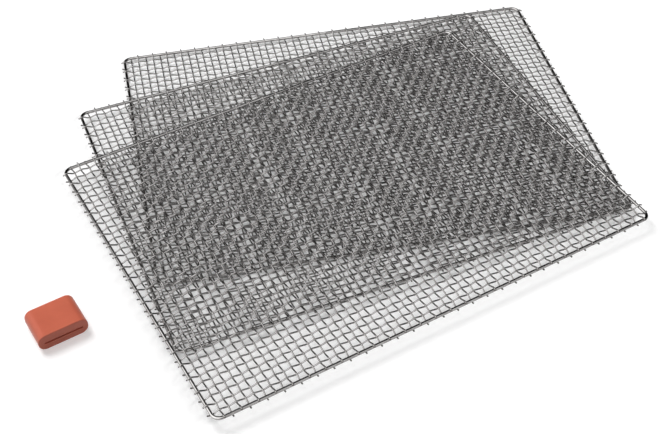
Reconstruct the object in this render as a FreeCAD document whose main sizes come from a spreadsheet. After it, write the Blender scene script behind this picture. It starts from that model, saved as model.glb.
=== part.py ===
import FreeCAD, Part
import math
import os

import Sketcher

# Oven dehydrating kit: three identical woven wire racks, stacked and fanned out about
# their right front corners, and a silicone door wedge that lies beside them.
# Origin: centre of the bottom rack, on the surface that the kit lies on.
# +X runs along the racks' long side, +Y to the back, +Z up.  Millimetres and degrees.

DIMENSIONS = [
    # woven mesh
    ("wire_pitch", 7.94),         # centre to centre of neighbouring wires, both ways
    ("cross_wires", 57),          # wires that run front to back
    ("long_wires", 42),           # wires that run left to right
    ("wire_diameter", 1.4),
    ("weave_gap", 0.05),          # clearance wherever one wire passes another or the rod
    # edge rod
    ("rod_diameter", 3.2),
    ("corner_radius", 7.5),       # of the rod's centre line
    # cut wire ends, measured from the rod's centre line
    ("side_stub", 3.6),
    ("back_stub", 3.6),
    ("front_stub", 3.4),
    ("stub_bend", 30.0),          # how far a wire bends round the rod before it runs straight
    ("front_stub_bend", 20.0),
    # stack
    ("stack_gap", 0.3),           # between one rack and the rack above, where they come nearest
    ("middle_turn", 10.4),
    ("middle_corner_x", 0.44),    # offset of the right front corner from the bottom rack's
    ("middle_corner_y", -1.78),
    ("top_turn", 17.8),
    ("top_corner_x", 7.7),
    ("top_corner_y", -22.6),
    # door wedge
    ("wedge_length", 46.0),
    ("wedge_depth", 36.0),
    ("wedge_height", 17.6),
    ("wedge_end_flat", 2.8),      # height of the flat on each end, between its round edges
    ("wedge_back_radius", 4.0),
    ("wedge_face_radius", 0.8),
    ("slot_length", 35.6),
    ("slot_height", 1.6),
    ("slot_depth", 27.0),
    ("slot_rise", 7.9),           # slot's middle above the wedge's underside
    # place of the slotted face's left end, from the top rack's left front corner
    ("wedge_aside", -96.6),       # along the top rack
    ("wedge_behind", 148.4),      # towards its back
    ("wedge_skew", 1.95),         # turned this much more than the top rack
]

doc = FreeCAD.newDocument("dehydrating_kit")
sheet = doc.addObject("Spreadsheet::Sheet", "Sheet")
for row, (alias, value) in enumerate(DIMENSIONS, start=1):
    sheet.set(f"A{row}", alias)
    sheet.set(f"B{row}", str(value))
    sheet.setAlias(f"B{row}", alias)
doc.recompute()

RACK_LENGTH = "(Sheet.cross_wires + 1) * Sheet.wire_pitch"
RACK_DEPTH = "(Sheet.long_wires + 1) * Sheet.wire_pitch"

sub_parts = []


def size(alias):
    """The value of one driving dimension."""
    return float(sheet.get(alias))


def rod_crest():
    """Height of a wire's centre line where it passes over the edge rod."""
    return (size("rod_diameter") + size("wire_diameter")) / 2 + size("weave_gap")


def weave_crest():
    """Height of a wire's centre line where it passes over another wire."""
    return (size("wire_diameter") + size("weave_gap")) / 2


def half_thickness():
    return rod_crest() + size("wire_diameter") / 2


def rack_length():
    return (size("cross_wires") + 1) * size("wire_pitch")


def rack_depth():
    return (size("long_wires") + 1) * size("wire_pitch")


def rack_placement(height, turn, corner_x, corner_y):
    """Place of a rack's middle, from its turn about the right front corner."""
    corner = FreeCAD.Vector(rack_length() / 2, -rack_depth() / 2, 0)
    rotation = FreeCAD.Rotation(FreeCAD.Vector(0, 0, 1), turn)
    offset = FreeCAD.Vector(corner_x, corner_y, height)
    return FreeCAD.Placement(corner + offset - rotation.multVec(corner), rotation)


def plane_of(body, role):
    """One of a body's own origin planes."""
    return next(f for f in body.Origin.OriginFeatures if f.Role == role)


def new_sketch(body, name, role):
    sketch = body.newObject("Sketcher::SketchObject", name)
    sketch.AttachmentSupport = [(plane_of(body, role), "")]
    sketch.MapMode = "FlatFace"
    return sketch


def constrain(sketch, kind, *place, name=None, expression=None):
    """Add one constraint; a named one is bound to the sheet."""
    index = sketch.addConstraint(Sketcher.Constraint(kind, *place))
    if name:
        sketch.renameConstraint(index, name)
        sketch.setExpression(f"Constraints.{name}", expression)


# ---------------------------------------------------------------- edge rod

START, END, CENTRE = 1, 2, 3          # point numbers of a sketch element
AXIS, ORIGIN_POINT = -1, 1            # the sketch's own horizontal axis and its origin
UPRIGHT = -2                          # the sketch's own vertical axis


def draw_rounded_frame(sketch, length, depth, radius):
    """Closed rounded rectangle about the origin; it starts at the middle of its front side."""
    x, y, r = length / 2, depth / 2, radius
    corners = [(x - r, -y + r), (x - r, y - r), (-x + r, y - r), (-x + r, -y + r)]
    starts = [-90, 0, 90, 180]
    ends = [(0, -y), (x - r, -y), (x, -y + r), (x, y - r), (x - r, y), (-x + r, y),
            (-x, y - r), (-x, -y + r), (-x + r, -y), (0, -y)]
    point = [FreeCAD.Vector(px, py, 0) for px, py in ends]
    for side in range(5):
        sketch.addGeometry(Part.LineSegment(point[2 * side], point[2 * side + 1]), False)
        if side < 4:
            cx, cy = corners[side]
            circle = Part.Circle(FreeCAD.Vector(cx, cy, 0), FreeCAD.Vector(0, 0, 1), r)
            first = math.radians(starts[side])
            sketch.addGeometry(Part.ArcOfCircle(circle, first, first + math.pi / 2), False)
    for element in range(8):
        constrain(sketch, "Tangent", element, END, element + 1, START)
    constrain(sketch, "Coincident", 8, END, 0, START)
    for element in (0, 4, 8):
        constrain(sketch, "Horizontal", element)
    for element in (2, 6):
        constrain(sketch, "Vertical", element)
    for element in (3, 5, 7):
        constrain(sketch, "Equal", 1, element)


def frame_rod(label, placement):
    """One rod bent into a closed rounded rectangle and butt welded."""
    body = doc.addObject("PartDesign::Body", label)
    body.Label = label
    path = new_sketch(body, label + "_path", "XY_Plane")
    draw_rounded_frame(path, rack_length(), rack_depth(), size("corner_radius"))
    constrain(path, "Radius", 1, size("corner_radius"),
              name="bend", expression="Sheet.corner_radius")
    constrain(path, "DistanceX", 6, START, 2, START, rack_length(),
              name="length", expression=RACK_LENGTH)
    constrain(path, "DistanceX", 6, START, 0, START, rack_length() / 2,
              name="half_length", expression=f"{RACK_LENGTH} / 2")
    constrain(path, "DistanceY", 0, START, 4, START, rack_depth(),
              name="depth", expression=RACK_DEPTH)
    constrain(path, "DistanceX", AXIS, ORIGIN_POINT, 2, START, rack_length() / 2,
              name="right", expression=f"{RACK_LENGTH} / 2")
    constrain(path, "DistanceY", AXIS, ORIGIN_POINT, 4, START, rack_depth() / 2,
              name="back", expression=f"{RACK_DEPTH} / 2")
    section = new_sketch(body, label + "_section", "YZ_Plane")
    middle = FreeCAD.Vector(-rack_depth() / 2, 0, 0)
    outline = Part.Circle(middle, FreeCAD.Vector(0, 0, 1), size("rod_diameter") / 2)
    section.addGeometry(outline, False)
    constrain(section, "PointOnObject", 0, CENTRE, AXIS)
    constrain(section, "DistanceX", 0, CENTRE, AXIS, ORIGIN_POINT, rack_depth() / 2,
              name="front", expression=f"{RACK_DEPTH} / 2")
    constrain(section, "Diameter", 0, size("rod_diameter"),
              name="diameter", expression="Sheet.rod_diameter")
    pipe = body.newObject("PartDesign::AdditivePipe", label + "_pipe")
    pipe.Profile = section
    pipe.Spine = path
    body.Tip = pipe
    body.Placement = placement
    sub_parts.append(body)


# ---------------------------------------------------------------- woven wires

def ease(start, end):
    """S-curve of two equal arcs between two level points of a wire's centre line."""
    run = end.x - start.x
    rise = end.z - start.z
    middle = (start + end) / 2
    radius = (run ** 2 + rise ** 2) / (4 * abs(rise))
    quarter = math.asin(run / 2 / radius) / 2
    side = math.copysign(1, rise)
    reach = radius * math.sin(quarter)
    lift = radius * (1 - math.cos(quarter)) * side
    first = start + FreeCAD.Vector(reach, 0, lift)
    second = end - FreeCAD.Vector(reach, 0, lift)
    return first, middle, second


def crimped_edges(levels):
    """Arcs tangent to each other through a row of crests, given as (place, height).

    Where the wire leaves a crest as it came, one arc spans the crest."""
    crest = [FreeCAD.Vector(place, 0, height) for place, height in levels]
    bends = [ease(crest[k], crest[k + 1]) for k in range(len(crest) - 1)]
    edges = []
    origin = crest[0]
    for k, (first, middle, second) in enumerate(bends):
        rise = abs(crest[k + 1].z - crest[k].z)
        if origin == crest[k]:
            edges.append(Part.Arc(origin, first, middle).toShape())
        else:
            edges.append(Part.Arc(origin, crest[k], middle).toShape())
        origin = middle
        last = k == len(bends) - 1
        even = not last and math.isclose(rise, abs(crest[k + 2].z - crest[k + 1].z), rel_tol=1e-9)
        if not even:
            edges.append(Part.Arc(middle, second, crest[k + 1]).toShape())
            origin = crest[k + 1]
    return edges


def stub_points(rod, outward, side, length, bend):
    """A wire's way off the rack: crest, a point on its bend round the rod, the bend's end, cut end.

    outward is the way it leaves along X; side is +1 where it passes over the rod."""
    crest = rod_crest()
    turn = math.radians(bend)
    bent = [FreeCAD.Vector(rod + outward * crest * math.sin(angle), 0, side * crest * math.cos(angle))
            for angle in (0, turn / 2, turn)]
    run = length - crest * math.sin(turn)
    cut = bent[2] + FreeCAD.Vector(outward * run, 0, -side * run * math.tan(turn))
    return bent + [cut]


def crimped_wire(crossings, sign, first_stub, last_stub):
    """One wire along +X, centred, over and under the wires it crosses.

    sign is +1 where the wire passes over the first rod; a stub is (length, bend)."""
    pitch = size("wire_pitch")
    half = (crossings + 1) * pitch / 2
    levels = []
    for k in range(crossings + 2):
        height = weave_crest() if 0 < k <= crossings else rod_crest()
        levels.append((k * pitch - half, sign * (-1) ** k * height))
    last_sign = sign * (-1) ** (crossings + 1)
    top, on_bend, off_bend, start = stub_points(-half, -1, sign, *first_stub)
    edges = [Part.LineSegment(start, off_bend).toShape(), Part.Arc(off_bend, on_bend, top).toShape()]
    edges += crimped_edges(levels)
    circle = Part.Circle(start, off_bend - start, size("wire_diameter") / 2)
    top, on_bend, off_bend, end = stub_points(half, 1, last_sign, *last_stub)
    edges += [Part.Arc(top, on_bend, off_bend).toShape(), Part.LineSegment(off_bend, end).toShape()]
    path = Part.Wire(edges)
    wire = path.makePipeShell([Part.Wire(circle.toShape())], True, False)
    expected = math.pi * (size("wire_diameter") / 2) ** 2 * path.Length
    if abs(wire.Volume / expected - 1) > 0.01:
        raise ValueError("a crimped wire's volume doesn't match its section times its length")
    return wire


def wire_group(label, wire, shifts, turn, placement):
    """Identical wires as separate solids of one node."""
    rotation = FreeCAD.Rotation(FreeCAD.Vector(0, 0, 1), turn)
    copies = []
    for shift in shifts:
        copy = wire.copy()
        copy.Placement = FreeCAD.Placement(shift, rotation)
        copies.append(copy)
    group = doc.addObject("Part::Feature", label)
    group.Label = label
    group.Shape = Part.makeCompound(copies)
    group.Placement = placement
    sub_parts.append(group)


def halves(count):
    """Wire numbers 1 to count, as a first and a second half."""
    middle = (count + 1) // 2
    return range(1, middle + 1), range(middle + 1, count + 1)


def woven_wires(rack, placement, wires):
    """The long and the cross wires of one rack, in groups of identical wires."""
    pitch = size("wire_pitch")
    first_x = -rack_length() / 2
    first_y = -rack_depth() / 2
    for half, numbers in zip(("front", "back"), halves(int(size("long_wires")))):
        for way, parity in (("over", 0), ("under", 1)):
            shifts = [FreeCAD.Vector(0, first_y + n * pitch, 0) for n in numbers if n % 2 == parity]
            wire_group(f"{rack}_long_{way}_{half}", wires["long", way], shifts, 0, placement)
    for half, numbers in zip(("left", "right"), halves(int(size("cross_wires")))):
        for way, parity in (("over", 1), ("under", 0)):
            shifts = [FreeCAD.Vector(first_x + n * pitch, 0, 0) for n in numbers if n % 2 == parity]
            wire_group(f"{rack}_cross_{way}_{half}", wires["cross", way], shifts, 90, placement)


def master_wires():
    """The four different wires that a rack is woven from.

    A wire is named by the way it passes the rod where it starts: the left one or the front one."""
    side = (size("side_stub"), size("stub_bend"))
    back = (size("back_stub"), size("stub_bend"))
    front = (size("front_stub"), size("front_stub_bend"))
    wires = {}
    for way, sign in (("over", 1), ("under", -1)):
        wires["long", way] = crimped_wire(int(size("cross_wires")), sign, side, side)
        wires["cross", way] = crimped_wire(int(size("long_wires")), sign, front, back)
    return wires


# ---------------------------------------------------------------- stacking

def rod_crests(place, side):
    """Where a rack's wires pass over (side 1) or under (side -1) its rod, seen from above.

    Each crest is (spot, direction of its wire)."""
    pitch = size("wire_pitch")
    long_way, cross_way = FreeCAD.Vector(1, 0, 0), FreeCAD.Vector(0, 1, 0)
    long_wires, cross_wires = int(size("long_wires")), int(size("cross_wires"))
    crests = []
    for count, crossings, way, step, over in (
            (long_wires, cross_wires, long_way, cross_way, 0),
            (cross_wires, long_wires, cross_way, long_way, 1)):
        reach = way * ((crossings + 1) * pitch / 2)
        for number in range(1, count + 1):
            middle = step * ((number - (count + 1) / 2) * pitch)
            first_side = 1 if number % 2 == over else -1
            last_side = first_side * (-1) ** (crossings + 1)
            ends = ((first_side, middle - reach), (last_side, middle + reach))
            for end_side, spot in ends:
                if end_side == side:
                    seen = place.multVec(spot)
                    seen.z = 0
                    crests.append((seen, place.Rotation.multVec(way)))
    return crests


def crest_profile():
    """A wire's path over the rod, as (place along the wire, height) every few tenths."""
    steps = 10
    rise = rod_crest() + weave_crest()
    radius = (size("wire_pitch") ** 2 + rise ** 2) / (4 * rise)
    places = [size("wire_pitch") / 2 * k / steps for k in range(-steps, steps + 1)]
    return [(along, rod_crest() - radius + math.sqrt(radius ** 2 - along ** 2)) for along in places]


def contact_height(lower, upper):
    """Distance between the middles of two racks that lie on each other.

    A crest of one stands on the rod of the other, or higher where two crests meet."""
    thick = size("wire_diameter")
    profile = crest_profile()
    height = rod_crest() + (thick + size("rod_diameter")) / 2
    under_crests = rod_crests(upper, -1)
    for spot, way in rod_crests(lower, 1):
        for other, other_way in under_crests:
            if (other - spot).Length > size("wire_pitch") + thick:
                continue
            for along, low in profile:
                for other_along, high in profile:
                    apart = (spot + way * along - other - other_way * other_along).Length
                    if apart < thick:
                        meeting = low + high + math.sqrt(thick ** 2 - apart ** 2)
                        height = max(height, meeting)
    return height


# ---------------------------------------------------------------- door wedge

def draw_rounded_box(sketch, left, low, right, high, radius):
    """Rounded rectangle: four sides and four corner arcs, from the lower left on."""
    r = radius
    centres = [(right - r, low + r, -90), (right - r, high - r, 0),
               (left + r, high - r, 90), (left + r, low + r, 180)]
    sides = [((left + r, low), (right - r, low)), ((right, low + r), (right, high - r)),
             ((right - r, high), (left + r, high)), ((left, high - r), (left, low + r))]
    for (start, end), (cx, cy, angle) in zip(sides, centres):
        side = Part.LineSegment(FreeCAD.Vector(*start, 0), FreeCAD.Vector(*end, 0))
        sketch.addGeometry(side, False)
        circle = Part.Circle(FreeCAD.Vector(cx, cy, 0), FreeCAD.Vector(0, 0, 1), r)
        first = math.radians(angle)
        sketch.addGeometry(Part.ArcOfCircle(circle, first, first + math.pi / 2), False)
    for element in range(8):
        constrain(sketch, "Tangent", element, END, (element + 1) % 8, START)
    for element in (0, 4):
        constrain(sketch, "Horizontal", element)
    for element in (2, 6):
        constrain(sketch, "Vertical", element)
    for element in (3, 5, 7):
        constrain(sketch, "Equal", 1, element)


def draw_slot(sketch, left, right, middle, radius):
    """Slot with round ends, along the sketch's X."""
    up = FreeCAD.Vector(0, 0, 1)
    side = FreeCAD.Vector(0, radius, 0)
    start = FreeCAD.Vector(left, middle, 0)
    end = FreeCAD.Vector(right, middle, 0)
    start_circle = Part.Circle(start, up, radius)
    end_circle = Part.Circle(end, up, radius)
    sketch.addGeometry(Part.LineSegment(start - side, end - side), False)
    sketch.addGeometry(Part.ArcOfCircle(end_circle, -math.pi / 2, math.pi / 2), False)
    sketch.addGeometry(Part.LineSegment(end + side, start + side), False)
    sketch.addGeometry(Part.ArcOfCircle(start_circle, math.pi / 2, 3 * math.pi / 2), False)
    for element in range(4):
        constrain(sketch, "Tangent", element, END, (element + 1) % 4, START)
    constrain(sketch, "Horizontal", 0)
    constrain(sketch, "Equal", 1, 3)


def wedge_placement(rack_place):
    """The wedge lies on the surface beside a rack, a little askew to it."""
    left_front = FreeCAD.Vector(-rack_length() / 2, -rack_depth() / 2, 0)
    offset = FreeCAD.Vector(size("wedge_aside"), size("wedge_behind"), 0)
    face_end = rack_place.multVec(left_front + offset)
    face_end.z = 0
    skew = FreeCAD.Rotation(FreeCAD.Vector(0, 0, 1), size("wedge_skew"))
    return FreeCAD.Placement(face_end, rack_place.Rotation.multiply(skew))


def door_wedge(placement):
    """Soft block with rounded ends and a thin slot in one long face."""
    label = "door_wedge"
    body = doc.addObject("PartDesign::Body", label)
    body.Label = label
    length, height = size("wedge_length"), size("wedge_height")
    end_round = (height - size("wedge_end_flat")) / 2
    outline = new_sketch(body, "wedge_outline", "XZ_Plane")
    draw_rounded_box(outline, 0, 0, length, height, end_round)
    constrain(outline, "Radius", 1, end_round,
              name="end_round", expression="(Sheet.wedge_height - Sheet.wedge_end_flat) / 2")
    constrain(outline, "DistanceX", 6, START, 2, START, length,
              name="length", expression="Sheet.wedge_length")
    constrain(outline, "DistanceY", 0, START, 4, START, height,
              name="height", expression="Sheet.wedge_height")
    constrain(outline, "PointOnObject", 0, START, AXIS)
    constrain(outline, "PointOnObject", 6, START, UPRIGHT)
    pad = body.newObject("PartDesign::Pad", "wedge_pad")
    pad.Profile = outline
    pad.setExpression("Length", "Sheet.wedge_depth")
    pad.Reversed = True
    doc.recompute()

    slot = new_sketch(body, "wedge_slot_outline", "XZ_Plane")
    half = size("slot_height") / 2
    margin = (length - size("slot_length")) / 2
    rise = size("slot_rise")
    draw_slot(slot, margin + half, length - margin - half, rise, half)
    constrain(slot, "Diameter", 1, 2 * half, name="height", expression="Sheet.slot_height")
    constrain(slot, "DistanceY", AXIS, ORIGIN_POINT, 1, CENTRE, rise,
              name="rise", expression="Sheet.slot_rise")
    constrain(slot, "DistanceX", 3, CENTRE, 1, CENTRE, length - 2 * margin - 2 * half,
              name="reach", expression="Sheet.slot_length - Sheet.slot_height")
    constrain(slot, "DistanceX", AXIS, ORIGIN_POINT, 3, CENTRE, margin + half, name="margin",
              expression="(Sheet.wedge_length - Sheet.slot_length + Sheet.slot_height) / 2")
    pocket = body.newObject("PartDesign::Pocket", "wedge_slot")
    pocket.Profile = slot
    pocket.setExpression("Length", "Sheet.slot_depth")
    doc.recompute()
    opening = 2 * half * (size("slot_length") - 2 * half) + math.pi * half ** 2
    removed = pad.Shape.Volume - pocket.Shape.Volume
    if not math.isclose(removed, opening * size("slot_depth"), rel_tol=1e-6):
        raise ValueError("the wedge's slot isn't cut to its full depth")

    back = rounded_rim(body, pocket, "wedge_back_round", size("wedge_depth"), "Sheet.wedge_back_radius")
    face = rounded_rim(body, back, "wedge_face_round", 0, "Sheet.wedge_face_radius")
    body.Tip = face
    body.Placement = placement
    sub_parts.append(body)


def rounded_rim(body, feature, name, depth, radius):
    """Fillet round the block's outer outline where it lies at the given depth."""
    solid = feature.Shape
    flat = [f for f in solid.Faces
            if abs(f.BoundBox.YMin - depth) < 1e-6 and f.BoundBox.YLength < 1e-6]
    face = max(flat, key=lambda f: f.Area)
    rim = face.OuterWire.Edges
    names = [f"Edge{k}" for k, edge in enumerate(solid.Edges, start=1)
             if any(edge.isSame(other) for other in rim)]
    fillet = body.newObject("PartDesign::Fillet", name)
    fillet.Base = (feature, names)
    fillet.setExpression("Radius", radius)
    doc.recompute()
    return fillet


# ---------------------------------------------------------------- the kit

RACKS = [("bottom_rack", 0, 0, 0),
         ("middle_rack", size("middle_turn"), size("middle_corner_x"), size("middle_corner_y")),
         ("top_rack", size("top_turn"), size("top_corner_x"), size("top_corner_y"))]

masters = master_wires()
height = half_thickness()
below = None
for rack, turn, corner_x, corner_y in RACKS:
    place = rack_placement(height, turn, corner_x, corner_y)
    if below:
        rise = contact_height(below, place) + size("stack_gap")
        height += rise
        place.move(FreeCAD.Vector(0, 0, rise))
    print(f"{rack}: middle at {height:.3f} mm")
    frame_rod(rack + "_frame_rod", place)
    woven_wires(rack, place, masters)
    below = place
door_wedge(wedge_placement(below))

doc.recompute()
for item in doc.Objects:
    if "Invalid" in item.State or "Error" in item.State:
        raise RuntimeError(f"{item.Label} failed: {item.State}")
for part in sub_parts:
    if part.Shape.isNull() or not part.Shape.isValid():
        raise RuntimeError(f"{part.Label} has no valid shape")

os.makedirs("parts", exist_ok=True)
for part in sub_parts:
    part.Shape.exportStep(f"parts/{part.Label}.step")
    print(f"{part.Label}: {len(part.Shape.Solids)} solids, {part.Shape.Volume:.1f} mm3")
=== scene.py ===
import math

import bpy
import numpy as np
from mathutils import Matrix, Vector


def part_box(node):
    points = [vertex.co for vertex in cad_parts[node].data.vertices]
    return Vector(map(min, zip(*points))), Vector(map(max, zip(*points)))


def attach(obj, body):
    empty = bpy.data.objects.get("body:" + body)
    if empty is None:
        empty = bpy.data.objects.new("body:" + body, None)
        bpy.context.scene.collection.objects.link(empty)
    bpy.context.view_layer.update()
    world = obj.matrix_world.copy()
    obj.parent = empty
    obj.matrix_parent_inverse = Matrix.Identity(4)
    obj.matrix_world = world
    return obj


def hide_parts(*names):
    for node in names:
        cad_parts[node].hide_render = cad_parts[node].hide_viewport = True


# An oven dehydrating kit: three woven wire racks, stacked and fanned out, and a silicone wedge.
# Metres and degrees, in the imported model's frame: +X along the bottom rack, +Y to the back, +Z up.

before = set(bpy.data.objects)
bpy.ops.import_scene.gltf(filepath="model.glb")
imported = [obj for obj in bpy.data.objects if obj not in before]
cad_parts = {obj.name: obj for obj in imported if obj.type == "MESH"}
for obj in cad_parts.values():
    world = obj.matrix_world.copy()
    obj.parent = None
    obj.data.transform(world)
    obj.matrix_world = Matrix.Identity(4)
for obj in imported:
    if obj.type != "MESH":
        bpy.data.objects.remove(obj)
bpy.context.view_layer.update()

SEED = 41

# Racks.  Their length, depth, rod and place come from the frame; these sizes don't show in it.
RACK_TURNS = {"bottom_rack": 0.0, "middle_rack": 10.4, "top_rack": 17.8}
CROSS_WIRES = 57
LONG_WIRES = 42
WIRE_RADIUS = 0.00075        # 0.0007 in CAD: drawn bolder, as in the photo
WEAVE_GAP = 0.00005          # clearance where one wire passes another or the rod
CORNER_RADIUS = 0.0075       # of the rod's centre line
# A cut end's length beyond the rod's centre, and how far the wire bends round the rod (degrees).
SIDE_STUB = (0.0036, 30.0)
FRONT_STUB = (0.0025, 20.0)  # 0.0034 long in CAD

# Wedge, in its own frame: u along the slotted face, v away from it, z up.
WEDGE_TURN = 19.75
WEDGE_CORNER = (-0.337856, -0.222323)    # left end of the slotted face
WEDGE_LENGTH, WEDGE_DEPTH, WEDGE_HEIGHT = 0.046, 0.036, 0.0176
WEDGE_SIDE_RADIUS = 0.0074
WEDGE_BACK_RADIUS = 0.0040
WEDGE_FACE_RADIUS = 0.0008
SLOT_LENGTH, SLOT_HEIGHT, SLOT_DEPTH, SLOT_RISE = 0.0356, 0.0016, 0.027, 0.0079
SLOT_LIP = 0.00035


# ---------------------------------------------------------------- sizes from the frame

def box_of(node):
    low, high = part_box(node)
    return low, high, (low + high) / 2


LOW, HIGH, _ = box_of("bottom_rack_frame_rod")
ROD_RADIUS = (HIGH.z - LOW.z) / 2
RACK_LENGTH = HIGH.x - LOW.x - 2 * ROD_RADIUS
RACK_DEPTH = HIGH.y - LOW.y - 2 * ROD_RADIUS
PITCH = RACK_LENGTH / (CROSS_WIRES + 1)
ROD_CREST = ROD_RADIUS + WIRE_RADIUS + WEAVE_GAP
WEAVE_CREST = WIRE_RADIUS + WEAVE_GAP / 2


# ---------------------------------------------------------------- materials

# Noise scales, over coordinates in metres: the larger, the finer.
STEEL_PATCHES, DRAW_MARKS = 160, 4000
SHEAR_GRAIN = 3000
SILICONE_CLOUDS, SILICONE_GRAIN = 45, 2600


def new_material(name):
    material = bpy.data.materials.new(name)
    material.use_nodes = True
    nodes = material.node_tree.nodes
    nodes.clear()
    shader = nodes.new("ShaderNodeBsdfPrincipled")
    output = nodes.new("ShaderNodeOutputMaterial")
    material.node_tree.links.new(shader.outputs["BSDF"], output.inputs["Surface"])
    return material, shader


def add_noise(material, scale, detail=3.0, stretch=(1, 1, 1)):
    """Noise over the object's own coordinates, so that it moves with the piece."""
    nodes, links = material.node_tree.nodes, material.node_tree.links
    place = nodes.new("ShaderNodeTexCoord")
    mapping = nodes.new("ShaderNodeMapping")
    mapping.inputs["Scale"].default_value = stretch
    noise = nodes.new("ShaderNodeTexNoise")
    noise.inputs["Scale"].default_value = scale
    noise.inputs["Detail"].default_value = detail
    links.new(place.outputs["Object"], mapping.inputs["Vector"])
    links.new(mapping.outputs["Vector"], noise.inputs["Vector"])
    return noise.outputs["Fac"]


def set_stops(ramp, stops):
    """Give a ramp node its stops, which are (position, colour)."""
    elements = ramp.color_ramp.elements
    while len(elements) < len(stops):
        elements.new(0.5)
    for element, (position, colour) in zip(elements, stops):
        element.position = position
        element.color = (*colour, 1)


def add_ramp(material, factor, stops):
    """Colour ramp over factor; stops are (position, colour)."""
    ramp = material.node_tree.nodes.new("ShaderNodeValToRGB")
    set_stops(ramp, stops)
    material.node_tree.links.new(factor, ramp.inputs["Fac"])
    return ramp.outputs["Color"]


def add_range(material, factor, low, high):
    """Factor, from 0.3 to 0.7, mapped on low to high."""
    node = material.node_tree.nodes.new("ShaderNodeMapRange")
    for name, value in (("From Min", 0.3), ("From Max", 0.7), ("To Min", low), ("To Max", high)):
        node.inputs[name].default_value = value
    material.node_tree.links.new(factor, node.inputs["Value"])
    return node.outputs["Result"]


def add_bump(material, shader, height, strength, distance):
    bump = material.node_tree.nodes.new("ShaderNodeBump")
    bump.inputs["Strength"].default_value = strength
    bump.inputs["Distance"].default_value = distance
    material.node_tree.links.new(height, bump.inputs["Height"])
    material.node_tree.links.new(bump.outputs["Normal"], shader.inputs["Normal"])


def steel(name, dark, light, roughness):
    """Drawn stainless steel: patches of duller metal and fine draw marks."""
    material, shader = new_material(name)
    links = material.node_tree.links
    shader.inputs["Metallic"].default_value = 1.0
    patches = add_noise(material, STEEL_PATCHES, 4.0)
    links.new(add_ramp(material, patches, [(0.3, dark), (0.7, light)]), shader.inputs["Base Color"])
    links.new(add_range(material, patches, roughness + 0.08, roughness - 0.06),
              shader.inputs["Roughness"])
    marks = add_noise(material, DRAW_MARKS, 2.0)
    add_bump(material, shader, marks, 0.25, 0.00002)
    return material


def cut_steel_painted_shade():
    """Sheared wire ends: rough, and near black as painted shade for their dark tips."""
    material, shader = new_material("cut_ends_painted_shade")
    shader.inputs["Metallic"].default_value = 1.0
    grain = add_noise(material, SHEAR_GRAIN, 3.0)
    # Near-black colour: painted shade for the dark dots at the wire ends.
    colour = add_ramp(material, grain, [(0.35, (0.05, 0.045, 0.04)), (0.7, (0.16, 0.15, 0.14))])
    material.node_tree.links.new(colour, shader.inputs["Base Color"])
    shader.inputs["Roughness"].default_value = 0.6
    add_bump(material, shader, grain, 0.6, 0.00005)
    return material


def silicone():
    """Satin moulded silicone in terracotta, with a faint sheen."""
    material, shader = new_material("terracotta_silicone")
    links = material.node_tree.links
    clouds = add_noise(material, SILICONE_CLOUDS, 3.0)
    colour = add_ramp(material, clouds, [(0.3, (0.66, 0.145, 0.080)), (0.7, (0.73, 0.170, 0.095))])
    links.new(colour, shader.inputs["Base Color"])
    grain = add_noise(material, SILICONE_GRAIN, 2.0)
    links.new(add_range(material, grain, 0.40, 0.50), shader.inputs["Roughness"])
    shader.inputs["Specular IOR Level"].default_value = 0.6
    shader.inputs["Sheen Weight"].default_value = 0.15
    shader.inputs["Sheen Roughness"].default_value = 0.4
    add_bump(material, shader, grain, 0.25, 0.00006)
    return material


LONG_STEEL = steel("long_wire_steel", (0.27, 0.26, 0.255), (0.42, 0.41, 0.405), 0.16)
# The cross wires' darker colour is painted shade: the same steel as the long wires, darkened where
# they look dark.
CROSS_STEEL_PAINTED_SHADE = steel("cross_wire_steel_painted_shade", (0.21, 0.20, 0.196), (0.34, 0.33, 0.325), 0.16)
# The rod's lighter colour is partly painted highlight, standing in for the bright band along it.
ROD_STEEL_PAINTED_HIGHLIGHT = steel("rod_steel_painted_highlight", (0.30, 0.29, 0.285), (0.44, 0.43, 0.425), 0.12)
CUT_ENDS_PAINTED_SHADE = cut_steel_painted_shade()
SILICONE = silicone()


# ---------------------------------------------------------------- mesh helpers

def new_piece(name, vertices, faces, materials, face_materials=None, flat=None):
    """Smooth shaded mesh object; faces marked in flat stay flat."""
    mesh = bpy.data.meshes.new(name)
    mesh.from_pydata([tuple(v) for v in vertices], [], faces)
    for material in materials:
        mesh.materials.append(material)
    mesh.polygons.foreach_set("use_smooth", [True] * len(faces))
    if face_materials is not None:
        mesh.polygons.foreach_set("material_index", face_materials)
    if flat is not None:
        for index in flat:
            mesh.polygons[index].use_smooth = False
    mesh.update()
    piece = bpy.data.objects.new(name, mesh)
    bpy.context.scene.collection.objects.link(piece)
    return piece


def unit(vector):
    return vector / np.linalg.norm(vector)


def tube_rings(points, side, radii, sides):
    """Rings of vertices round a path that bends at right angles to side."""
    tangents = np.gradient(points, axis=0)
    tangents /= np.linalg.norm(tangents, axis=1)[:, None]
    normals = np.cross(tangents, side)
    normals /= np.linalg.norm(normals, axis=1)[:, None]
    binormals = np.cross(normals, tangents)
    angles = np.arange(sides) * 2 * math.pi / sides
    spokes = (np.cos(angles)[None, :, None] * normals[:, None, :]
              + np.sin(angles)[None, :, None] * binormals[:, None, :])
    return points[:, None, :] + spokes * np.asarray(radii)[:, None, None]


def ring_faces(count, sides, first=0):
    """Quads between neighbouring rings of vertices."""
    ring = np.arange(count - 1)[:, None] * sides
    side = np.arange(sides)[None, :]
    after = (side + 1) % sides
    quads = np.stack([ring + side, ring + after, ring + sides + after, ring + sides + side],
                     axis=-1)
    return (quads.reshape(-1, 4) + first).tolist()


# ---------------------------------------------------------------- woven wires

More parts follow.
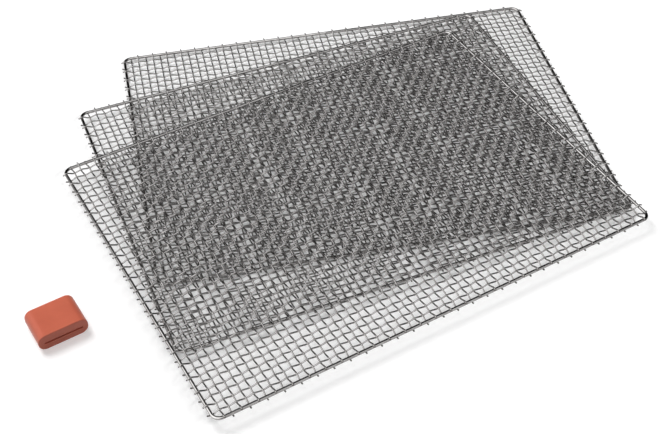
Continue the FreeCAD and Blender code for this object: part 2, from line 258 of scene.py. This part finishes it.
WIRE_SIDES = 8
STEPS = 8                    # lengths of tube from one crossing to the next
STUB_STEPS = 3               # and round the rod towards a cut end
BEND_SHARE = 0.25            # of the way from one crossing to the next, at each end
WIRE_SWAY = 0.0002           # how far a wire lies and wanders sideways, as a standard deviation
WANDER_RATE = 40             # radians of its wandering to a metre of wire
WANDER_START = 6.28          # most that the wandering is shifted along the wire, in radians
MOST_TRIM = 0.0002           # most that a cut end falls short
# A cut end's rings: how far back from the end, and how much thinner than the wire.
TIP = [(0, 0.0003), (0.0001, 0.00012), (0.0003, 0), (0.0009, 0)]


def stub_points(rod, outward, side, length, bend):
    """A wire's way off the rack: round the rod, then straight to its cut end."""
    turn = math.radians(bend)
    points = []
    for step in range(1, STUB_STEPS + 1):
        angle = turn * step / STUB_STEPS
        points.append((rod + outward * ROD_CREST * math.sin(angle),
                       side * ROD_CREST * math.cos(angle)))
    place, height = points[-1]
    run = length - ROD_CREST * math.sin(turn)
    points.append((place + outward * run, height - side * run * math.tan(turn)))
    return points


def crimp(share):
    """Rise from one crest to the next: a bend, a straight slope, a bend."""
    if share > 0.5:
        return 1 - crimp(1 - share)
    if share < BEND_SHARE:
        return share ** 2 / (2 * BEND_SHARE * (1 - BEND_SHARE))
    return (share - BEND_SHARE / 2) / (1 - BEND_SHARE)


def wire_path(crossings, sign, first_stub, last_stub):
    """Centre line of a crimped wire as (place along it, height), from end to end."""
    half = (crossings + 1) * PITCH / 2
    stops = []
    for k in range(crossings + 2):
        crest = WEAVE_CREST if 0 < k <= crossings else ROD_CREST
        stops.append((k * PITCH - half, sign * (-1) ** k * crest))
    path = list(reversed(stub_points(-half, -1, sign, *first_stub)))
    for (start, low), (end, high) in zip(stops, stops[1:]):
        for step in range(STEPS):
            share = step / STEPS
            path.append((start + (end - start) * share, low + (high - low) * crimp(share)))
    path.append(stops[-1])
    last_sign = sign * (-1) ** (crossings + 1)
    path += stub_points(half, 1, last_sign, *last_stub)
    return np.array(path)


def woven_wires(name, body, nodes, material, path, offsets, along, across, middle, random):
    """One piece made of identical wires, laid side by side at the given offsets."""
    up = np.array([0.0, 0.0, 1.0])
    vertices, faces, face_materials, flat = [], [], [], []
    first = 0
    run = path[:, 0]
    for offset in offsets:
        sway = random.normal(0, WIRE_SWAY, 2)
        wander = sway[0] + sway[1] * np.sin(run * WANDER_RATE + random.uniform(0, WANDER_START))
        points = (middle + along * run[:, None] + up * path[:, 1][:, None]
                  + across * (offset + wander)[:, None])
        trim = random.uniform(0, MOST_TRIM)
        inward, outward = unit(points[1] - points[0]), unit(points[-1] - points[-2])
        first_end, last_end = points[0] + inward * trim, points[-1] - outward * trim
        points = np.vstack([[first_end + inward * back for back, _ in TIP], points[1:-1],
                            [last_end - outward * back for back, _ in reversed(TIP)]])
        radii = np.full(len(points), WIRE_RADIUS)
        for k, (_, inset) in enumerate(TIP):
            radii[[k, -1 - k]] -= inset
        rings = tube_rings(points, across, radii, WIRE_SIDES)
        count = len(points)
        vertices.append(rings.reshape(-1, 3))
        faces += ring_faces(count, WIRE_SIDES, first)
        # The tip rings and end caps take the near-black ends material, a painted shade.
        tip = (len(TIP) - 1) * WIRE_SIDES
        face_materials += [1] * tip + [0] * ((count - 1) * WIRE_SIDES - 2 * tip) + [1] * tip
        last = first + (count - 1) * WIRE_SIDES
        faces.append([first + k for k in reversed(range(WIRE_SIDES))])
        faces.append([last + k for k in range(WIRE_SIDES)])
        face_materials += [1, 1]
        flat += [len(faces) - 2, len(faces) - 1]
        first += count * WIRE_SIDES
    piece = new_piece(name, np.vstack(vertices), faces, [material, CUT_ENDS_PAINTED_SHADE], face_materials, flat)
    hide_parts(*nodes)
    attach(piece, body)
    return piece


def halves(count):
    middle = (count + 1) // 2
    return range(1, middle + 1), range(middle + 1, count + 1)


def rack_axes(rack):
    """A rack's middle and its own directions, in the frame."""
    _, _, middle = box_of(rack + "_frame_rod")
    turn = math.radians(RACK_TURNS[rack])
    along = np.array([math.cos(turn), math.sin(turn), 0])
    across = np.array([-math.sin(turn), math.cos(turn), 0])
    return np.array(middle), along, across


def rack_wires(rack, random):
    """The long and the cross wires of one rack, one piece for each CAD node."""
    middle, along, across = rack_axes(rack)
    pieces = []
    for half, numbers in zip(("front", "back"), halves(LONG_WIRES)):
        for way, sign, parity in (("over", 1, 0), ("under", -1, 1)):
            path = wire_path(CROSS_WIRES, sign, SIDE_STUB, SIDE_STUB)
            offsets = [n * PITCH - RACK_DEPTH / 2 for n in numbers if n % 2 == parity]
            pieces.append(woven_wires(
                f"{rack}_long_wires_{way}_{half}", rack, [f"{rack}_long_{way}_{half}"],
                LONG_STEEL, path, offsets, along, across, middle, random))
    for half, numbers in zip(("left", "right"), halves(CROSS_WIRES)):
        for way, sign, parity in (("over", 1, 1), ("under", -1, 0)):
            path = wire_path(LONG_WIRES, sign, FRONT_STUB, SIDE_STUB)
            offsets = [n * PITCH - RACK_LENGTH / 2 for n in numbers if n % 2 == parity]
            pieces.append(woven_wires(
                f"{rack}_cross_wires_{way}_{half}", rack, [f"{rack}_cross_{way}_{half}"],
                CROSS_STEEL_PAINTED_SHADE, path, [-o for o in offsets], across, -along, middle,
                random))
    return pieces


# ---------------------------------------------------------------- edge rod

ROD_SIDES = 20
BEND_STEPS = 10
WELD_LENGTH = 0.0022
WELD_BULGE = 0.00012


def rod_path():
    """Centre line of the rod as (x, y), and how much thicker it is at the weld."""
    x, y, r = RACK_LENGTH / 2, RACK_DEPTH / 2, CORNER_RADIUS
    weld = [(-0.5, 0), (-0.35, 0.6), (-0.1, 1), (0.1, 1), (0.35, 0.6), (0.5, 0)]
    path = [(place * WELD_LENGTH, y, bulge * WELD_BULGE) for place, bulge in reversed(weld)]
    corners = [(-x + r, y - r, 90), (-x + r, -y + r, 180), (x - r, -y + r, 270), (x - r, y - r, 0)]
    for cx, cy, start in corners:
        for step in range(BEND_STEPS + 1):
            angle = math.radians(start + 90 * step / BEND_STEPS)
            path.append((cx + r * math.cos(angle), cy + r * math.sin(angle), 0))
    return path


def frame_rod(rack):
    """Rod bent into a closed rounded rectangle, butt welded in the middle of its back side."""
    middle, along, across = rack_axes(rack)
    path = np.array(rod_path())
    points = middle + along * path[:, :1] + across * path[:, 1:2]
    before, after = np.roll(points, 1, axis=0), np.roll(points, -1, axis=0)
    tangents = after - before
    tangents /= np.linalg.norm(tangents, axis=1)[:, None]
    up = np.array([0.0, 0.0, 1.0])
    outward = np.cross(tangents, up)
    angles = np.arange(ROD_SIDES) * 2 * math.pi / ROD_SIDES
    radii = ROD_RADIUS + path[:, 2]
    spokes = (np.cos(angles)[None, :, None] * outward[:, None, :]
              + np.sin(angles)[None, :, None] * up[None, None, :])
    rings = points[:, None, :] + spokes * radii[:, None, None]
    count = len(points)
    faces = ring_faces(count, ROD_SIDES)
    last = (count - 1) * ROD_SIDES
    for k in range(ROD_SIDES):
        neighbour = (k + 1) % ROD_SIDES
        faces.append([last + k, last + neighbour, neighbour, k])
    piece = new_piece(rack + "_edge_rod", rings.reshape(-1, 3), faces, [ROD_STEEL_PAINTED_HIGHLIGHT])
    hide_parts(rack + "_frame_rod")
    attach(piece, rack)
    return piece


# ---------------------------------------------------------------- door wedge

CORNER_STEPS = 10
LONG_STEPS = 14
SHORT_STEPS = 2
FACE_STEPS = 5               # round the edge of the slotted face
BACK_STEPS = 10              # round the edge of the back


def rounded_outline(half_width, half_height, radius):
    """Points round a rounded rectangle, as many on each arc and side whatever its size."""
    points = []
    corners = [(1, -1, -90), (1, 1, 0), (-1, 1, 90), (-1, -1, 180)]
    for index, (right, top, start) in enumerate(corners):
        cx, cy = right * (half_width - radius), top * (half_height - radius)
        arc = []
        for step in range(CORNER_STEPS + 1):
            angle = math.radians(start + 90 * step / CORNER_STEPS)
            arc.append((cx + radius * math.cos(angle), cy + radius * math.sin(angle)))
        points += arc
        nx, ny, next_start = corners[(index + 1) % 4]
        angle = math.radians(next_start)
        goal = (nx * (half_width - radius) + radius * math.cos(angle),
                ny * (half_height - radius) + radius * math.sin(angle))
        steps = SHORT_STEPS if index % 2 == 0 else LONG_STEPS
        for step in range(1, steps):
            share = step / steps
            points.append((arc[-1][0] + (goal[0] - arc[-1][0]) * share,
                           arc[-1][1] + (goal[1] - arc[-1][1]) * share))
    return np.array(points)


def wedge_rings():
    """Outlines from the slot's end out to the face, round its edge, and along to the back."""
    half_length, half_height = WEDGE_LENGTH / 2, WEDGE_HEIGHT / 2
    slot_drop = SLOT_RISE - half_height
    rings = []

    def slot_ring(grow, depth):
        outline = rounded_outline(SLOT_LENGTH / 2 + grow, SLOT_HEIGHT / 2 + grow,
                                  SLOT_HEIGHT / 2 + grow)
        rings.append((outline + [0, slot_drop], depth))

    def body_ring(inset, depth):
        radius = WEDGE_SIDE_RADIUS - inset
        rings.append((rounded_outline(half_length - inset, half_height - inset, radius), depth))

    slot_ring(0, SLOT_DEPTH)
    for share in (0.75, 0.5, 0.25, 0.08):
        slot_ring(0, SLOT_DEPTH * share)
    for angle in (0, 30, 60, 90):
        turn = math.radians(angle)
        slot_ring(SLOT_LIP * (1 - math.cos(turn)), SLOT_LIP * (1 - math.sin(turn)))
    lip = rings[-1][0]
    rim = rounded_outline(half_length - WEDGE_FACE_RADIUS, half_height - WEDGE_FACE_RADIUS,
                          WEDGE_SIDE_RADIUS - WEDGE_FACE_RADIUS)
    for share in (0.33, 0.67):
        rings.append((lip + (rim - lip) * share, 0.0))
    for step in range(FACE_STEPS + 1):
        turn = math.radians(90 * step / FACE_STEPS)
        body_ring(WEDGE_FACE_RADIUS * (1 - math.sin(turn)),
                  WEDGE_FACE_RADIUS * (1 - math.cos(turn)))
    straight = WEDGE_DEPTH - WEDGE_BACK_RADIUS - WEDGE_FACE_RADIUS
    for share in (0.03, 0.25, 0.5, 0.75, 0.97):
        body_ring(0, WEDGE_FACE_RADIUS + straight * share)
    for step in range(BACK_STEPS + 1):
        turn = math.radians(90 * step / BACK_STEPS)
        body_ring(WEDGE_BACK_RADIUS * (1 - math.cos(turn)),
                  WEDGE_DEPTH - WEDGE_BACK_RADIUS * (1 - math.sin(turn)))
    back = rings[-1][0]
    for share in (0.6, 0.25):
        rings.append((back * share, WEDGE_DEPTH))
    return rings


def door_wedge():
    """Soft moulded block with a deep thin slot, lofted as one closed skin."""
    turn = math.radians(WEDGE_TURN)
    along = np.array([math.cos(turn), math.sin(turn), 0])
    inward = np.array([-math.sin(turn), math.cos(turn), 0])
    up = np.array([0.0, 0.0, 1.0])
    corner = np.array([*WEDGE_CORNER, 0.0])
    vertices = []
    rings = wedge_rings()
    for outline, depth in rings:
        u = outline[:, :1] + WEDGE_LENGTH / 2
        z = outline[:, 1:2] + WEDGE_HEIGHT / 2
        vertices.append(corner + along * u + inward * depth + up * z)
    sides = len(rings[0][0])
    faces = ring_faces(len(rings), sides)
    faces.append(list(reversed(range(sides))))
    last = (len(rings) - 1) * sides
    faces.append([last + k for k in range(sides)])
    piece = new_piece("silicone_wedge", np.vstack(vertices), faces, [SILICONE])
    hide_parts("door_wedge")
    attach(piece, "door_wedge")
    return piece


# ---------------------------------------------------------------- studio

VIEW_TARGET = Vector((-0.05805, -0.11860, 0.00285))
VIEW_AZIMUTH, VIEW_ELEVATION = -12.35, 45.71
VIEW_DISTANCE = 1.08985
LENS = 61.52

FLOOR_SIZE = 6.0
FLOOR_DROP = 0.0002          # keeps the lowest wires clear of it
FLOOR_WHITE = 0.9            # where it is seen, straight or in metal
FLOOR_GREY = 0.35
FLOOR_LIFT = 0.15            # light added to the floor where it is seen, so that it reads as white
FLOOR_FADE = (0.55, 1.5)     # distances from the middle between which it rises to full white


def make_camera():
    azimuth, elevation = math.radians(VIEW_AZIMUTH), math.radians(VIEW_ELEVATION)
    level = math.cos(elevation)
    look = Vector((-math.sin(azimuth) * level, math.cos(azimuth) * level, -math.sin(elevation)))
    data = bpy.data.cameras.new("camera")
    data.lens = LENS
    camera = bpy.data.objects.new("camera", data)
    camera.location = VIEW_TARGET - look * VIEW_DISTANCE
    camera.rotation_euler = look.to_track_quat("-Z", "Y").to_euler()
    bpy.context.scene.collection.objects.link(camera)
    bpy.context.scene.camera = camera


def new_node(tree, kind, **inputs):
    node = tree.nodes.new(kind)
    for name, value in inputs.items():
        node.inputs[name].default_value = value
    return node


def maths(tree, operation, first, second):
    node = tree.nodes.new("ShaderNodeMath")
    node.operation = operation
    for index, value in enumerate((first, second)):
        if isinstance(value, (int, float)):
            node.inputs[index].default_value = value
        else:
            tree.links.new(value, node.inputs[index])
    return node.outputs["Value"]


def floor_material():
    material = bpy.data.materials.new("floor_white")
    material.use_nodes = True
    tree = material.node_tree
    tree.nodes.clear()
    paper = new_node(tree, "ShaderNodeBsdfDiffuse")
    glow = new_node(tree, "ShaderNodeEmission")
    rays = new_node(tree, "ShaderNodeLightPath")
    seen = maths(tree, "MAXIMUM", rays.outputs["Is Camera Ray"], rays.outputs["Is Glossy Ray"])
    place = new_node(tree, "ShaderNodeTexCoord")
    reach = new_node(tree, "ShaderNodeVectorMath")
    reach.operation = "LENGTH"
    tree.links.new(place.outputs["Object"], reach.inputs[0])
    lift = new_node(tree, "ShaderNodeMapRange")
    lift.interpolation_type = "SMOOTHSTEP"
    for index, value in enumerate((*FLOOR_FADE, FLOOR_LIFT, 1.0), start=1):
        lift.inputs[index].default_value = value
    tree.links.new(reach.outputs["Value"], lift.inputs["Value"])
    tree.links.new(maths(tree, "MULTIPLY", seen, lift.outputs["Result"]), glow.inputs["Strength"])
    whiter = maths(tree, "MULTIPLY", seen, FLOOR_WHITE - FLOOR_GREY)
    tree.links.new(maths(tree, "ADD", whiter, FLOOR_GREY), paper.inputs["Color"])
    both = new_node(tree, "ShaderNodeAddShader")
    tree.links.new(paper.outputs["BSDF"], both.inputs[0])
    tree.links.new(glow.outputs["Emission"], both.inputs[1])
    output = new_node(tree, "ShaderNodeOutputMaterial")
    tree.links.new(both.outputs["Shader"], output.inputs["Surface"])
    return material


def make_floor():
    mesh = bpy.data.meshes.new("floor")
    half = FLOOR_SIZE / 2
    mesh.from_pydata([(-half, -half, 0), (half, -half, 0), (half, half, 0), (-half, half, 0)],
                     [], [(0, 1, 2, 3)])
    mesh.materials.append(floor_material())
    floor = bpy.data.objects.new("floor", mesh)
    floor.location.z = -FLOOR_DROP
    bpy.context.scene.collection.objects.link(floor)
    return floor


ROOM_FILL = 0.25             # even light from all round, which rough surfaces get
# The room as metal shows it, in place of the white background: each lobe is the way to its
# middle, and stops of (nearness, level).  Levels are shares of the peak, which is over 1
# because the steel is written darker than it has to look.
ROOM_LOBES = [
    ((-0.60, -0.25, 0.76), [(0.0, 0.0), (0.48, 0.004), (0.60, 0.12), (0.74, 0.85), (0.88, 1.0)]),
    ((0.495, -0.547, 0.677), [(0.0, 0.0), (0.88, 0.0), (0.95, 0.5), (1.0, 0.6)]),
]
ROOM_PEAK = 2.6


def make_world():
    world = bpy.data.worlds.new("world")
    bpy.context.scene.world = world
    world.use_nodes = True
    tree = world.node_tree
    tree.nodes.clear()
    rays = new_node(tree, "ShaderNodeLightPath")
    way = new_node(tree, "ShaderNodeTexCoord")
    level = 0.0
    for middle, stops in ROOM_LOBES:
        toward = new_node(tree, "ShaderNodeVectorMath")
        toward.operation = "DOT_PRODUCT"
        toward.inputs[1].default_value = middle
        tree.links.new(way.outputs["Generated"], toward.inputs[0])
        curve = new_node(tree, "ShaderNodeValToRGB")
        set_stops(curve, [(position, (value, value, value)) for position, value in stops])
        tree.links.new(toward.outputs["Value"], curve.inputs["Fac"])
        level = maths(tree, "MAXIMUM", curve.outputs["Color"], level)
    fill = new_node(tree, "ShaderNodeBackground", Strength=ROOM_FILL)
    fill.inputs["Color"].default_value = (1, 1, 1, 1)
    room = new_node(tree, "ShaderNodeBackground")
    room.inputs["Color"].default_value = (1, 1, 1, 1)
    tree.links.new(maths(tree, "MULTIPLY", level, ROOM_PEAK), room.inputs["Strength"])
    white = new_node(tree, "ShaderNodeBackground", Strength=1.0)
    white.inputs["Color"].default_value = (1, 1, 1, 1)
    metal = new_node(tree, "ShaderNodeMixShader")
    tree.links.new(rays.outputs["Is Glossy Ray"], metal.inputs["Fac"])
    tree.links.new(fill.outputs["Background"], metal.inputs[1])
    tree.links.new(room.outputs["Background"], metal.inputs[2])
    seen = new_node(tree, "ShaderNodeMixShader")
    tree.links.new(rays.outputs["Is Camera Ray"], seen.inputs["Fac"])
    tree.links.new(metal.outputs["Shader"], seen.inputs[1])
    tree.links.new(white.outputs["Background"], seen.inputs[2])
    output = new_node(tree, "ShaderNodeOutputWorld")
    tree.links.new(seen.outputs["Shader"], output.inputs["Surface"])


LIT_POINT = Vector((0, -0.03, 0))    # which every softbox faces

# Softboxes: azimuth and elevation of the place they shine from, distance, width, height, power,
# and whether they light the wedge too.
SOFTBOXES = [
    ("right_strip", 138, 43, 2.0, 1.3, 0.22, 19.0, False),
    ("left_key", -50, 57, 2.0, 1.0, 1.0, 27.0, True),
]


def make_lights(others):
    """Softboxes; one that leaves the wedge out gets the list of all the other pieces."""
    for name, azimuth, elevation, distance, width, height, power, on_wedge in SOFTBOXES:
        around, above = math.radians(azimuth), math.radians(elevation)
        level = math.cos(above)
        way = Vector((math.sin(around) * level, math.cos(around) * level, math.sin(above)))
        data = bpy.data.lights.new(name, "AREA")
        data.shape = "RECTANGLE"
        data.size, data.size_y = width, height
        data.energy = power
        light = bpy.data.objects.new(name, data)
        light.visible_glossy = False
        light.location = LIT_POINT + way * distance
        light.rotation_euler = (-way).to_track_quat("-Z", "Y").to_euler()
        bpy.context.scene.collection.objects.link(light)
        if not on_wedge:
            group = bpy.data.collections.new(name + "_pieces")
            for piece in others:
                group.objects.link(piece)
            light.light_linking.receiver_collection = group
            light.light_linking.blocker_collection = group


make_camera()
random = np.random.default_rng(SEED)
racks = []
for rack_name in RACK_TURNS:
    racks.append(frame_rod(rack_name))
    racks += rack_wires(rack_name, random)
door_wedge()
floor = make_floor()
make_world()
make_lights(racks + [floor])
bpy.context.scene.view_settings.view_transform = "Standard"
